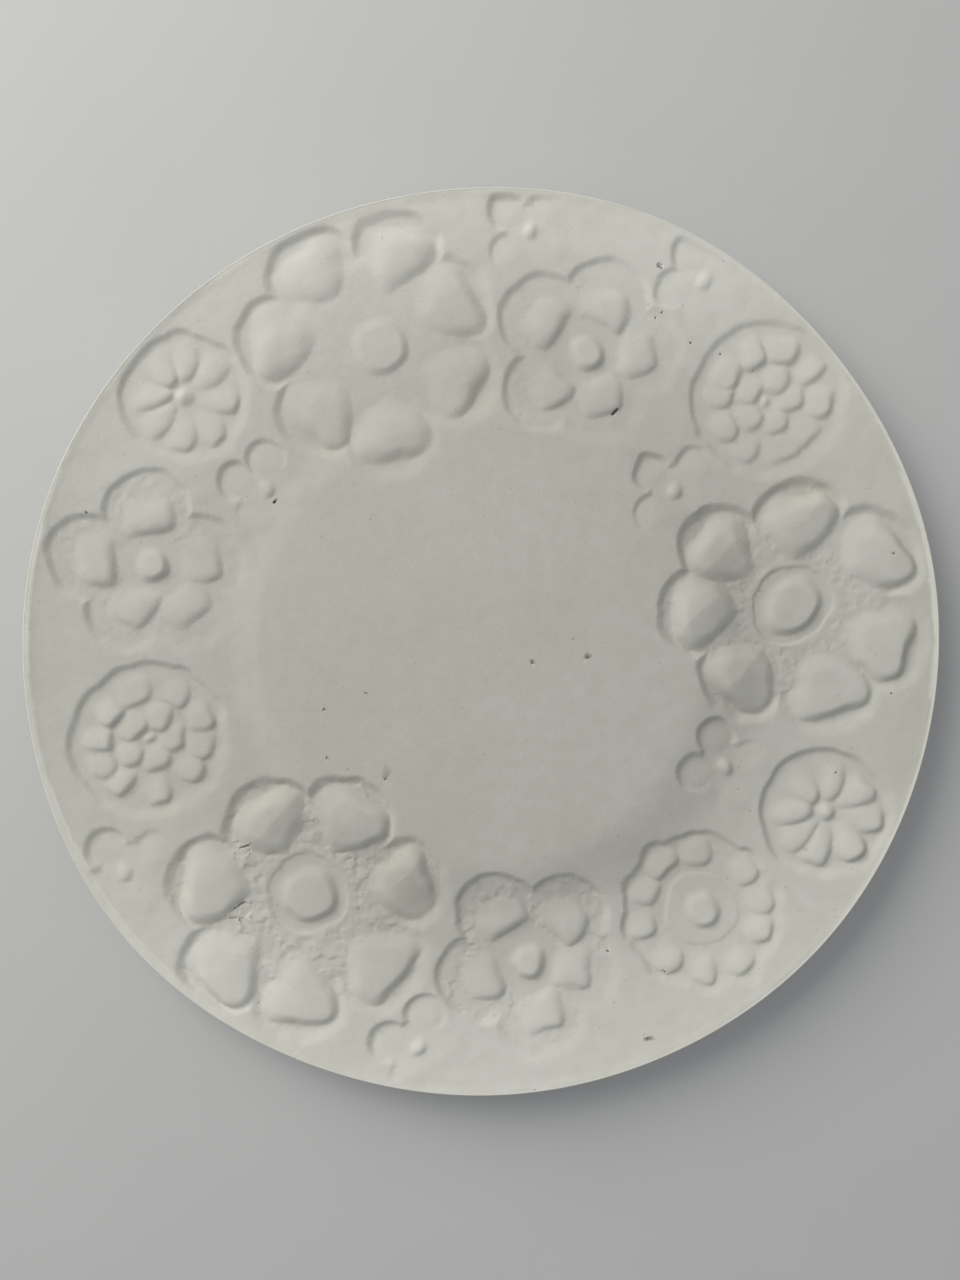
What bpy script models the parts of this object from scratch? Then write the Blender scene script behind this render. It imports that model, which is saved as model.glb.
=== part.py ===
"""Decorative wall plate with eighteen flowers in sunk relief around a flat, slightly raised centre.

The plate lies on its foot ring, +Z up, with its origin at the centre of its footprint.
Sizes are in millimetres and angles in degrees, counted from +X towards +Y.
"""

import math

import bmesh
import bpy
import numpy as np

MM = 0.001

# Body of the plate
PLATE_DIAMETER = 300.0
CENTRE_THICKNESS = 9.0
EDGE_THICKNESS = 6.5
EDGE_ROUNDING = 0.9
CENTRE_RADIUS = 72.0
CENTRE_STEP = 2.2
CENTRE_STEP_WIDTH = 12.0
RIM_RISE = 4.6
RIM_CURVE = 1.8
LIP_RISE = 0.45
LIP_WIDTH = 3.0

# Towards this bearing the step round the centre starts further in and drops deeper, by these amounts
STEP_LEAN_BEARING = -42.0
STEP_START_LEAN = 9.0
STEP_LEAN = 0.45

# The hand-made edge strays from a circle: waves round the edge, their height and where each crests
EDGE_WAVES = ((2, 1.11, 26.0), (3, 0.47, -37.0), (4, 0.26, -34.0), (5, 0.30, 3.0), (7, 0.24, 13.0))

# Back of the plate
FOOT_OUTER_RADIUS = 87.0
FOOT_WIDTH = 7.0
FOOT_HEIGHT = 5.0
FOOT_FLARE = 1.5
HANG_HOLE_DIAMETER = 2.6
HANG_HOLE_SPREAD = 28.0

# Kinds of flower. Heights count from the floor of the flower's pocket, whose edge drops over the width
# "wall"; the pocket grows shallower by the share "tilt" towards its gentle side. The ground between the
# petals stands at "web" and falls to "moat" beyond "web_reach". A petal's edge slopes over the width
# "edge"; the share "crown" of its height is domed, with a ridge as sharp as its "keel", and it leans by
# the share "ramp".
# Large flower: seven puffy petals, a dome and a ring round it
LARGE = dict(
    depth=2.5, tilt=0.25, wall=3.2, core=32.0, lobe_inset=11.8, lobe_radius=17.2,
    petal_length=22.8, petal_half_width=13.8, petal_height=3.9, taper=0.9, blunt=0.42,
    keel=0.7, crown=0.6, ramp=0.4, edge=2.6, web=1.8, moat=0.9, web_reach=25.0,
    knob_radius=10.4, knob_height=3.7, knob_edge=3.0,
    ring_at=13.6, ring_half_width=1.9, ring_height=2.4, groove_height=1.3,
)
# Medium flower: five round petals on a wider five-lobed ground
MEDIUM = dict(
    depth=2.2, tilt=0.55, wall=2.8, core=20.0, lobe_inset=6.5, lobe_radius=15.6,
    petal_length=14.4, petal_half_width=9.2, petal_height=3.0, taper=0.22, blunt=0.32,
    keel=0.2, crown=0.3, ramp=0.9, edge=2.0, web=0.7, moat=1.1, web_reach=9.0,
    knob_radius=6.4, knob_height=3.2, knob_edge=2.4,
)
# Small flower: a shallow pocket of round lobes that runs out level with the rim, and a little knob
SMALL = dict(
    depth=1.6, tilt=1.0, tilt_from=-1.0, tilt_run=1.5, wall=2.6, core=9.6, lobe_inset=7.4, lobe_radius=7.4,
    petal_length=13.0, petal_half_width=6.6, petal_height=0.5, taper=0.5, blunt=0.42,
    keel=0.0, crown=0.8, ramp=0.5, edge=2.0, web=0.0, moat=0.0, web_reach=5.0,
    knob_radius=3.8, knob_height=2.4, knob_edge=2.0,
)
# Rosette: five petals inside a ring of ten, and a bead in the middle
ROSETTE = dict(
    depth=1.9, tilt=0.3, wall=2.8, core=26.0, lobe_inset=4.0, lobe_radius=8.4,
    petal_length=10.8, petal_half_width=6.0, petal_height=2.7, taper=0.3, blunt=0.34,
    keel=0.4, crown=0.35, ramp=0.9, edge=1.6, web=1.0, moat=0.8, web_reach=19.0,
    inner_petals=5, inner_length=10.4, inner_reach=12.4, inner_half_width=5.8, inner_turn=8.0,
    knob_radius=2.4, knob_height=2.2, knob_edge=1.5,
)
# Daisy: eight long petals and a little knob
DAISY = dict(
    depth=1.9, tilt=0.3, wall=2.8, core=21.8, lobe_inset=6.0, lobe_radius=9.4,
    petal_length=15.4, petal_half_width=7.0, petal_height=2.6, taper=0.5, blunt=0.34,
    keel=0.6, crown=0.5, ramp=0.8, edge=1.6, web=0.9, moat=0.7, web_reach=15.0,
    knob_radius=3.8, knob_height=2.8, knob_edge=2.0,
)
# Ring flower: ten small petals round a flat disc with a knob
RING_FLOWER = dict(
    depth=2.2, tilt=0.3, wall=3.0, core=26.4, lobe_inset=5.0, lobe_radius=7.6,
    petal_length=10.6, petal_half_width=6.0, petal_height=3.0, taper=0.35, blunt=0.36,
    keel=0.2, crown=0.4, ramp=0.9, edge=1.8, web=1.2, moat=0.7, web_reach=22.0,
    knob_radius=6.6, knob_height=3.5, knob_edge=2.4, hub_radius=15.2, hub_height=1.7,
)


def around(reach, *bearings):
    """Petals that all reach equally far from the flower's middle, at these bearings."""
    return [(bearing, reach) for bearing in bearings]


def even(count, turn, reach):
    """Evenly spaced petals."""
    return around(reach, *(turn + 360.0 * i / count for i in range(count)))


# The wreath: each flower's kind, its bearing and distance from the plate's centre, how strongly it is
# pressed, and its petals: the bearing of each from the flower's middle, and how far it reaches
WREATH = (
    (LARGE, 109.0, 105.0, 0.9,
     ((134, 43), (80, 41), (29, 37.5), (-26, 38.5), (-81, 39.5), (-131, 40), (178, 43))),
    (LARGE, 7.0, 104.5, 1.1,
     ((142, 39), (84, 37.5), (34, 42), (-24, 40.5), (-68, 40), (-126, 39.5), (184, 40.5))),
    (LARGE, 235.5, 102.0, 1.0,
     ((118, 38), (62, 38.5), (6, 43), (-44, 43), (-95, 43.5), (-140, 44), (171, 41))),
    (MEDIUM, 70.3, 102.4, 0.9, ((139, 24), (65, 23.5), (2, 23.5), (-72, 22), (-136, 23.5))),
    (MEDIUM, -81.4, 107.6, 1.1, ((124, 25), (52, 25), (-8, 22), (-79, 24.5), (199, 23))),
    (MEDIUM, 166.6, 112.8, 1.0, ((91, 23), (6, 23.5), (-50, 25), (-114, 21.5), (175, 25))),
    (ROSETTE, 40.4, 124.6, 0.9, around(21.8, -3, 33, 76, 113, 147, 176, 214, 247, 283, 321)),
    (ROSETTE, 196.0, 114.4, 1.0, around(21.8, -9, 27, 62, 108, 145, 175, 205, 238, 283, 319)),
    (DAISY, 140.4, 127.8, 0.8, around(19.0, 48, -3, -49, -96, 91, 134, 179, 224)),
    (DAISY, -26.3, 127.2, 1.1, around(18.6, -2, 36, 78, 133, 176, 220, 256, 307)),
    (RING_FLOWER, -50.6, 115.4, 1.1, around(25.0, 17, 47, 98, 130, 162, 196, 234, 275, 312, 346)),
    (SMALL, 83.4, 137.2, 0.9, even(4, 46.0, 16.8)),
    (SMALL, 58.2, 139.0, 0.8, even(5, 48.0, 16.8)),
    (SMALL, 38.4, 81.8, 1.0, even(4, 49.0, 17.2)),
    (SMALL, -27.0, 91.4, 1.2, even(4, 16.0, 17.2)),
    (SMALL, 144.4, 88.4, 0.9, around(17.0, 88, 166, 256, 350)),
    (SMALL, 212.6, 137.4, 0.9, around(17.0, 131, 33, -58, 220)),
    (SMALL, -99.0, 135.8, 1.1, even(4, -12.0, 17.4)),
)
FLOWER_REACH = 54.0

# A pocket's wall is steep on one side and runs out gently on the other, where it is this much wider
GENTLE_WALL = 3.5
GENTLE_BEARING = -45.0

# Moulded by hand, the flowers stray a little from their drawn shape: how far, and over what lengths
DRIFT = 0.5
DRIFT_LENGTHS = (43.0, 37.0, 19.0)

# The gap that the flowers keep from the edge
LIP_MARGIN = 1.2

# Fineness of the turned blank and number of triangles that the finished piece keeps
TURNED_STEPS = 600
RIM_RINGS = 76
KEPT_TRIANGLES = 9400

PLATE_RADIUS = PLATE_DIAMETER / 2
CENTRE_LEVEL = FOOT_HEIGHT + CENTRE_THICKNESS
RIM_START = CENTRE_RADIUS + CENTRE_STEP_WIDTH
RIM_LEVEL = CENTRE_LEVEL - CENTRE_STEP
EDGE_LEVEL = RIM_LEVEL + RIM_RISE + LIP_RISE
EDGE_UNDERSIDE = EDGE_LEVEL - EDGE_THICKNESS
RELIEF_START = 52.0


def ease(t):
    """Smooth 0 to 1 curve, level at both ends."""
    t = np.clip(t, 0.0, 1.0)
    return t * t * (3.0 - 2.0 * t)


def top_level(radius, bearing=None):
    """Height of the plate's plain upper side. Without a bearing, the step round the centre doesn't lean."""
    lean = 0.0 if bearing is None else np.cos(bearing - math.radians(STEP_LEAN_BEARING))
    start = CENTRE_RADIUS - STEP_START_LEAN * np.clip(lean, 0.0, 1.0)
    step = CENTRE_STEP * (1.0 + STEP_LEAN * lean) * ease((radius - start) / (RIM_START - start))
    out_on_rim = np.clip((radius - RIM_START) / (PLATE_RADIUS - RIM_START), 0.0, 1.0)
    back_up = CENTRE_STEP * STEP_LEAN * lean * ease(out_on_rim / 0.5)
    lip = LIP_RISE * ease((radius - PLATE_RADIUS + EDGE_ROUNDING + LIP_WIDTH) / LIP_WIDTH)
    return CENTRE_LEVEL - step + back_up + RIM_RISE * out_on_rim ** RIM_CURVE + lip


def underside_level(radius):
    """Height of the sloping back, outside the foot ring."""
    out_on_back = (radius - FOOT_OUTER_RADIUS) / (PLATE_RADIUS - FOOT_OUTER_RADIUS)
    return FOOT_HEIGHT + (EDGE_UNDERSIDE - FOOT_HEIGHT) * out_on_back


def drifted(x, y):
    """Coordinates that wander slowly about the true ones."""
    slow, slower, quick = (2.0 * math.pi / length for length in DRIFT_LENGTHS)
    across = np.sin(slower * y + 1.3) + 0.5 * np.sin(quick * (x + y))
    upward = np.sin(slow * x + 0.4) + 0.5 * np.sin(quick * (x - y) + 2.0)
    return x + DRIFT * across, y + DRIFT * upward


def turned_to(x, y, bearing):
    """Coordinates along and across a bearing."""
    cos, sin = math.cos(math.radians(bearing)), math.sin(math.radians(bearing))
    return x * cos + y * sin, y * cos - x * sin


def swelling(filled, inset, lee, edge, crown, ramp):
    """Height share of a raised form: it slopes over its edge's width, is partly domed, and leans."""
    shoulder = ease(inset / edge)
    return (shoulder * (1.0 - crown) + filled * crown) * (1.0 - ramp * (0.5 - 0.5 * np.clip(lee, -1.0, 1.0)))


def petal_lift(kind, x, y, bearing, length, reach, half_width):
    """How far a petal rises from the ground to its full height, from 0 to 1. The taper draws it in
    towards the flower's middle, and the less blunt its outer end, the squarer."""
    along, across = turned_to(x, y, bearing)
    t = np.clip((along - reach + length) / length, 0.0, 1.0)
    taper, blunt = kind["taper"], kind["blunt"]
    widest = taper / (taper + blunt)
    fullest = widest ** taper * (1.0 - widest) ** blunt
    width = half_width * t ** taper * (1.0 - t) ** blunt / fullest
    share = np.clip(np.abs(across) / np.maximum(width, 0.01), 0.0, 1.0)
    filled = (1.0 - share ** (2.0 - kind["keel"] * (1.0 - 0.6 * t))) * np.minimum(width / half_width, 1.0)
    middle = (reach - length / 2) * math.cos(math.radians(bearing - GENTLE_BEARING))
    lee = turned_to(x, y, GENTLE_BEARING)[0] - middle
    return swelling(
        filled, filled * half_width / 2, lee / half_width, kind["edge"], kind["crown"], kind["ramp"])


def flower(kind, x, y, petals):
    """Height of a flower over the plain rim: its sunk pocket, and in it the ground, petals and knob."""
    distance = np.hypot(x, y)
    lee = turned_to(x, y, GENTLE_BEARING)[0]
    outline = distance - kind["core"]
    lift = np.zeros_like(x)
    for bearing, reach in petals:
        along, across = turned_to(x, y, bearing)
        to_lobe = np.hypot(along - reach + kind["lobe_inset"], across) - kind["lobe_radius"]
        outline = np.minimum(outline, to_lobe)
        lift = np.maximum(lift, petal_lift(
            kind, x, y, bearing, kind["petal_length"], reach, kind["petal_half_width"]))
    for i in range(kind.get("inner_petals", 0)):
        turn = petals[0][0] + kind["inner_turn"] + 360.0 * i / kind["inner_petals"]
        lift = np.maximum(lift, petal_lift(
            kind, x, y, turn, kind["inner_length"], kind["inner_reach"], kind["inner_half_width"]))

    wider = GENTLE_WALL * np.clip(lee / np.maximum(distance, 0.001), 0.0, 1.0)
    opening = ease((-outline + wider / 2) / (kind["wall"] + wider))
    ground = kind["moat"] + (kind["web"] - kind["moat"]) * (1.0 - ease((distance - kind["web_reach"]) / 7.0))
    if "hub_radius" in kind:
        ground = np.maximum(ground, kind["hub_height"] * ease((kind["hub_radius"] - distance) / 2.0))
    if "ring_at" in kind:
        ring = 1.0 - ((distance - kind["ring_at"]) / kind["ring_half_width"]) ** 2
        ground = np.where(distance < kind["ring_at"], kind["groove_height"], ground)
        ground = np.maximum(ground, kind["ring_height"] * ease(ring))
    raised = ground + (kind["petal_height"] - ground) * lift
    out_on_knob = np.minimum(distance / kind["knob_radius"], 1.0)
    knob = swelling(1.0 - out_on_knob ** 2, kind["knob_radius"] * (1.0 - out_on_knob),
                    lee / kind["knob_radius"], kind["knob_edge"], 0.45, 0.6 * kind["ramp"])
    raised = np.maximum(raised, ground + (kind["knob_height"] - ground) * knob)
    towards_lee = lee / (kind["core"] + 8.0)
    shallower = ease((towards_lee - kind.get("tilt_from", -0.2)) / kind.get("tilt_run", 1.1))
    return (raised - kind["depth"]) * opening * (1.0 - kind["tilt"] * shallower)


def relief(x, y):
    """Height of the wreath of flowers and of the leaning step over the plain turned upper side."""
    radius = np.hypot(x, y)
    wandering_x, wandering_y = drifted(x, y)
    surface = np.zeros_like(x)
    for kind, bearing, distance, vigour, petals in WREATH:
        local_x = wandering_x - distance * math.cos(math.radians(bearing))
        local_y = wandering_y - distance * math.sin(math.radians(bearing))
        near = np.hypot(local_x, local_y) < FLOWER_REACH
        height = vigour * flower(kind, local_x[near], local_y[near], petals)
        surface[near] = np.where(np.abs(height) > np.abs(surface[near]), height, surface[near])
    surface = surface * ease((PLATE_RADIUS - LIP_MARGIN - radius) / LIP_WIDTH)
    return surface + top_level(radius, np.arctan2(y, x)) - top_level(radius)


def edge_wave(bearing):
    """How far the edge strays from the circle at a bearing in radians."""
    return sum(height * np.cos(waves * (bearing - math.radians(crest)))
               for waves, height, crest in EDGE_WAVES)


def arc(centre_x, centre_z, radius, start, end, steps):
    """Points of an arc in the profile's plane."""
    angles = [math.radians(start + (end - start) * i / steps) for i in range(steps + 1)]
    return [(centre_x + radius * math.cos(a), centre_z + radius * math.sin(a)) for a in angles]


def plate_profile():
    """Half of the plate's section, from the middle of its top over the edge to the middle of its back."""
    rounded_from = PLATE_RADIUS - EDGE_ROUNDING
    points = [(0.0, CENTRE_LEVEL), (RELIEF_START / 2, CENTRE_LEVEL)]
    for i in range(RIM_RINGS + 1):
        radius = RELIEF_START + (rounded_from - RELIEF_START) * i / RIM_RINGS
        points.append((radius, float(top_level(radius))))
    points += arc(rounded_from, EDGE_LEVEL - EDGE_ROUNDING, EDGE_ROUNDING, 90, 0, 4)[1:]
    points += arc(rounded_from, EDGE_UNDERSIDE + EDGE_ROUNDING, EDGE_ROUNDING, 0, -90, 4)
    for share in (0.75, 0.5, 0.25):
        radius = FOOT_OUTER_RADIUS + (rounded_from - FOOT_OUTER_RADIUS) * share
        points.append((radius, underside_level(radius)))
    inner = FOOT_OUTER_RADIUS - FOOT_WIDTH
    points += [(FOOT_OUTER_RADIUS + FOOT_FLARE, FOOT_HEIGHT), (FOOT_OUTER_RADIUS, 0.0)]
    points += [(inner, 0.0), (inner - FOOT_FLARE, FOOT_HEIGHT), (inner / 2, FOOT_HEIGHT), (0.0, FOOT_HEIGHT)]
    return points


def add_mesh_object(name, mesh, collection):
    obj = bpy.data.objects.new(name, mesh)
    collection.objects.link(obj)
    return obj


def turned_blank(collection):
    """The plain plate, turned from its profile and made a mesh."""
    points = plate_profile()
    profile = bpy.data.meshes.new("plate_profile")
    vertices = [(x * MM, 0.0, z * MM) for x, z in points]
    profile.from_pydata(vertices, [(i, i + 1) for i in range(len(points) - 1)], [])
    blank = add_mesh_object("plate_blank", profile, collection)
    screw = blank.modifiers.new("turn", "SCREW")
    screw.steps = TURNED_STEPS
    screw.render_steps = TURNED_STEPS
    screw.use_merge_vertices = True
    screw.merge_threshold = 0.00001
    bpy.context.view_layer.update()
    evaluated = blank.evaluated_get(bpy.context.evaluated_depsgraph_get())
    mesh = bpy.data.meshes.new_from_object(evaluated)
    bpy.data.objects.remove(blank)
    return mesh


def carve(mesh):
    """Press the flowers into the upper side, bring the edge out of true and centre the footprint."""
    count = len(mesh.vertices)
    flat = np.empty(count * 3)
    mesh.vertices.foreach_get("co", flat)
    points = flat.reshape(count, 3) / MM
    x, y, z = points[:, 0].copy(), points[:, 1].copy(), points[:, 2].copy()
    radius = np.hypot(x, y)

    middle = CENTRE_LEVEL - CENTRE_THICKNESS / 2
    on_rim = z > np.where(radius < RIM_START, middle, (top_level(radius) + underside_level(radius)) / 2)
    on_top = on_rim & (radius < PLATE_RADIUS - LIP_MARGIN)
    points[on_top, 2] += relief(x[on_top], y[on_top])

    near_edge = ease((radius - FOOT_OUTER_RADIUS) / (PLATE_RADIUS - FOOT_OUTER_RADIUS))
    stretch = 1.0 + near_edge * edge_wave(np.arctan2(y, x)) / PLATE_RADIUS
    points[:, :2] *= stretch[:, None]
    points[:, :2] -= (points[:, :2].min(axis=0) + points[:, :2].max(axis=0)) / 2
    mesh.vertices.foreach_set("co", (points * MM).ravel())
    mesh.update()


def face_outwards(mesh):
    bm = bmesh.new()
    bm.from_mesh(mesh)
    bmesh.ops.recalc_face_normals(bm, faces=bm.faces)
    bmesh.ops.triangulate(bm, faces=bm.faces)
    bm.to_mesh(mesh)
    bm.free()


def hang_hole(bearing, collection):
    """A drill across the foot ring for the wire that the plate hangs by."""
    middle = FOOT_OUTER_RADIUS - FOOT_WIDTH / 2
    angle = math.radians(bearing)
    bpy.ops.mesh.primitive_cylinder_add(
        vertices=12,
        radius=HANG_HOLE_DIAMETER / 2 * MM,
        depth=(FOOT_WIDTH + 4.0 * FOOT_FLARE) * MM,
        location=(middle * math.cos(angle) * MM, middle * math.sin(angle) * MM, FOOT_HEIGHT / 2 * MM),
        rotation=(0.0, math.pi / 2, angle),
    )
    drill = bpy.context.object
    drill.name = f"hang_hole_{bearing:.0f}"
    for owner in list(drill.users_collection):
        owner.objects.unlink(drill)
    collection.objects.link(drill)
    drill.hide_render = True
    drill.display_type = "WIRE"
    return drill


def bisque_material():
    material = bpy.data.materials.new("off_white_bisque")
    material.use_nodes = True
    shader = material.node_tree.nodes["Principled BSDF"]
    shader.inputs["Base Color"].default_value = (0.72, 0.70, 0.64, 1.0)
    shader.inputs["Roughness"].default_value = 0.85
    shader.inputs["Metallic"].default_value = 0.0
    return material


def build_plate(parts, cutters):
    mesh = turned_blank(parts)
    carve(mesh)
    face_outwards(mesh)
    mesh.name = "plate"
    plate = add_mesh_object("plate", mesh, parts)
    plate.data.materials.append(bisque_material())

    lighten = plate.modifiers.new("lighten", "DECIMATE")
    lighten.ratio = KEPT_TRIANGLES / len(mesh.polygons)
    for side in (-1, 1):
        drill = hang_hole(90.0 + side * HANG_HOLE_SPREAD / 2, cutters)
        pierce = plate.modifiers.new(drill.name, "BOOLEAN")
        pierce.operation = "DIFFERENCE"
        pierce.object = drill
    return plate


def main():
    for obj in list(bpy.data.objects):
        bpy.data.objects.remove(obj)
    parts = bpy.data.collections.new("decorative_wall_plate")
    cutters = bpy.data.collections.new("cutters")
    for collection in (parts, cutters):
        bpy.context.scene.collection.children.link(collection)
    build_plate(parts, cutters)


main()
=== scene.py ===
import math

import bmesh
import bpy
import numpy as np
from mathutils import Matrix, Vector


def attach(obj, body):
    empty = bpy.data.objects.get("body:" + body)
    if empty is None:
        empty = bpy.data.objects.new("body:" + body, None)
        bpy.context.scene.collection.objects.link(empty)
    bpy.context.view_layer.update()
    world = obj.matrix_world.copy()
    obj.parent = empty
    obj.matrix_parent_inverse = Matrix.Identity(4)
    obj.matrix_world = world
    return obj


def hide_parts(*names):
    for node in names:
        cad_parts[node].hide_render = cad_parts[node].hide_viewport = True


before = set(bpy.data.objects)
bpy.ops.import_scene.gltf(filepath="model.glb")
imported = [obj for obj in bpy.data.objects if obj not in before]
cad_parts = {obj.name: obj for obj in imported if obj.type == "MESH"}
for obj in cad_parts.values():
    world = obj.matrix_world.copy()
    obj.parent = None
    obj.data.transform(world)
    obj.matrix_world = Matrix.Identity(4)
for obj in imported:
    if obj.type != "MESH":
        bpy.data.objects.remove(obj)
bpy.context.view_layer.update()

# Decorative wall plate, lying on its foot ring and seen from above. Lengths are in millimetres and
# angles in degrees, counted from +X towards +Y, unless a comment says otherwise.
MM = 0.001

# Body of the plate. The edge's rounding, the lip, the rim's rise and the leaning step differ a little from
# the solid, after the photograph's shading
PLATE_DIAMETER = 300.0
CENTRE_THICKNESS = 9.0
EDGE_THICKNESS = 6.5
EDGE_ROUNDING = 0.5
CENTRE_RADIUS = 72.0
CENTRE_STEP = 2.2
CENTRE_STEP_WIDTH = 12.0
# On the side towards this bearing the step round the middle is wider and drops deeper
STEP_LEAN_BEARING = -42.0
STEP_LEAN = 0.6
STEP_WIDER = 14.0
RIM_RISE = 4.85
RIM_CURVE = 1.8
LIP_RISE = 0.2
LIP_WIDTH = 3.0
EDGE_WAVES = ((2, 1.11, 26.0), (3, 0.47, -37.0), (4, 0.26, -34.0), (5, 0.30, 3.0), (7, 0.24, 13.0))
FOOT_OUTER_RADIUS = 87.0
FOOT_WIDTH = 7.0
FOOT_HEIGHT = 5.0
FOOT_FLARE = 1.5
FOOT_ROUNDING = 0.6
HANG_HOLE_DIAMETER = 2.6
HANG_HOLE_SPREAD = 28.0

PLATE_RADIUS = PLATE_DIAMETER / 2
CENTRE_LEVEL = FOOT_HEIGHT + CENTRE_THICKNESS
RIM_START = CENTRE_RADIUS + CENTRE_STEP_WIDTH
EDGE_LEVEL = CENTRE_LEVEL - CENTRE_STEP + RIM_RISE + LIP_RISE
EDGE_UNDERSIDE = EDGE_LEVEL - EDGE_THICKNESS

# Flower kinds. Heights count from the pocket's floor, which lies "depth" under the rim and gets shallower
# by the share "tilt" on one side. The pocket's outline is a round core with a lobe round each petal's tip.
# The ground between the petals stands at "web" and falls to "moat" beyond "web_reach". A petal's edge
# slopes over the width "edge"; the share "crown" of its height is domed, with a ridge as sharp as its
# "keel", and it leans by the share "ramp". The knob in the middle has the same measures for itself. Some
# kinds have a beaded ring round the knob, a second circle of inner petals or a flat hub under the knob.
LARGE = dict(
    depth=2.5, tilt=0.25, wall=3.6, core=32.0, lobe_inset=11.8, lobe_radius=17.2,
    petal_length=23.4, petal_half_width=14.2, petal_height=4.0, taper=0.85, blunt=0.38,
    keel=0.6, crown=0.35, ramp=0.65, edge=2.2, web=1.7, moat=1.0, web_reach=25.0,
    knob_radius=10.4, knob_height=3.4, knob_edge=2.3, knob_ramp=0.6, knob_crown=0.2,
    ring_at=13.8, ring_half_width=2.0, ring_height=1.8, groove_height=1.2, bead_depth=0.08,
)
SMOOTH_LARGE = dict(
    LARGE, keel=0.3, edge=2.8, knob_height=3.7, knob_ramp=0.75,
    ring_height=1.7, groove_height=1.7, bead_depth=0.0,
)
ROUGH_LARGE = dict(LARGE, keel=0.7, bead_depth=0.12)
MEDIUM = dict(
    depth=2.2, tilt=0.55, wall=2.6, core=20.0, lobe_inset=6.5, lobe_radius=15.6,
    petal_length=14.0, petal_half_width=9.2, petal_height=3.1, taper=0.13, blunt=0.22,
    keel=0.3, crown=0.15, ramp=0.9, edge=2.0, web=0.7, moat=1.1, web_reach=9.0,
    knob_radius=6.6, knob_height=3.1, knob_edge=2.1, knob_ramp=0.75, knob_crown=0.2,
)
SMALL = dict(
    depth=1.5, tilt=1.0, tilt_from=-1.0, tilt_run=1.5, wall=2.4, core=9.6, lobe_inset=7.4, lobe_radius=7.4,
    petal_length=13.0, petal_half_width=6.6, petal_height=0.5, taper=0.5, blunt=0.42,
    keel=0.0, crown=0.8, ramp=0.5, edge=2.0, web=0.0, moat=0.0, web_reach=5.0,
    knob_radius=3.7, knob_height=1.5, knob_edge=1.9, knob_ramp=0.85, knob_crown=0.25,
)
ROSETTE = dict(
    depth=1.9, tilt=0.3, wall=2.6, core=26.0, lobe_inset=4.0, lobe_radius=8.4,
    petal_length=10.8, petal_half_width=6.2, petal_height=2.5, taper=0.3, blunt=0.34,
    keel=0.4, crown=0.2, ramp=0.95, edge=1.3, web=0.9, moat=0.8, web_reach=19.0, stray=3.0,
    inner_petals=5, inner_length=10.4, inner_reach=12.4, inner_half_width=5.8, inner_turn=8.0,
    knob_radius=2.4, knob_height=2.0, knob_edge=1.5, knob_ramp=0.6, knob_crown=0.4,
)
DAISY = dict(
    depth=1.9, tilt=0.3, wall=2.6, core=21.8, lobe_inset=6.0, lobe_radius=9.4,
    petal_length=15.4, petal_half_width=5.8, petal_height=2.6, taper=0.55, blunt=0.34,
    keel=0.5, crown=0.3, ramp=0.9, edge=1.6, web=0.7, moat=0.6, web_reach=15.0, stray=2.2,
    knob_radius=4.0, knob_height=2.7, knob_edge=2.2, knob_ramp=0.6, knob_crown=0.4,
)
RING_FLOWER = dict(
    depth=2.2, tilt=0.3, wall=2.8, core=26.4, lobe_inset=5.0, lobe_radius=7.6,
    petal_length=10.6, petal_half_width=6.3, petal_height=3.0, taper=0.35, blunt=0.36,
    keel=0.3, crown=0.2, ramp=0.95, edge=1.5, web=1.2, moat=0.8, web_reach=22.0, stray=2.4,
    knob_radius=6.6, knob_height=3.4, knob_edge=1.9, knob_ramp=0.6, knob_crown=0.25,
    hub_radius=15.2, hub_height=1.5,
)


def around(reach, *bearings):
    """Petals that all reach equally far from the flower's middle, at these bearings."""
    return [(bearing, reach) for bearing in bearings]


def even(count, turn, reach):
    """Evenly spaced petals."""
    return around(reach, *(turn + 360.0 * i / count for i in range(count)))


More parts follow.
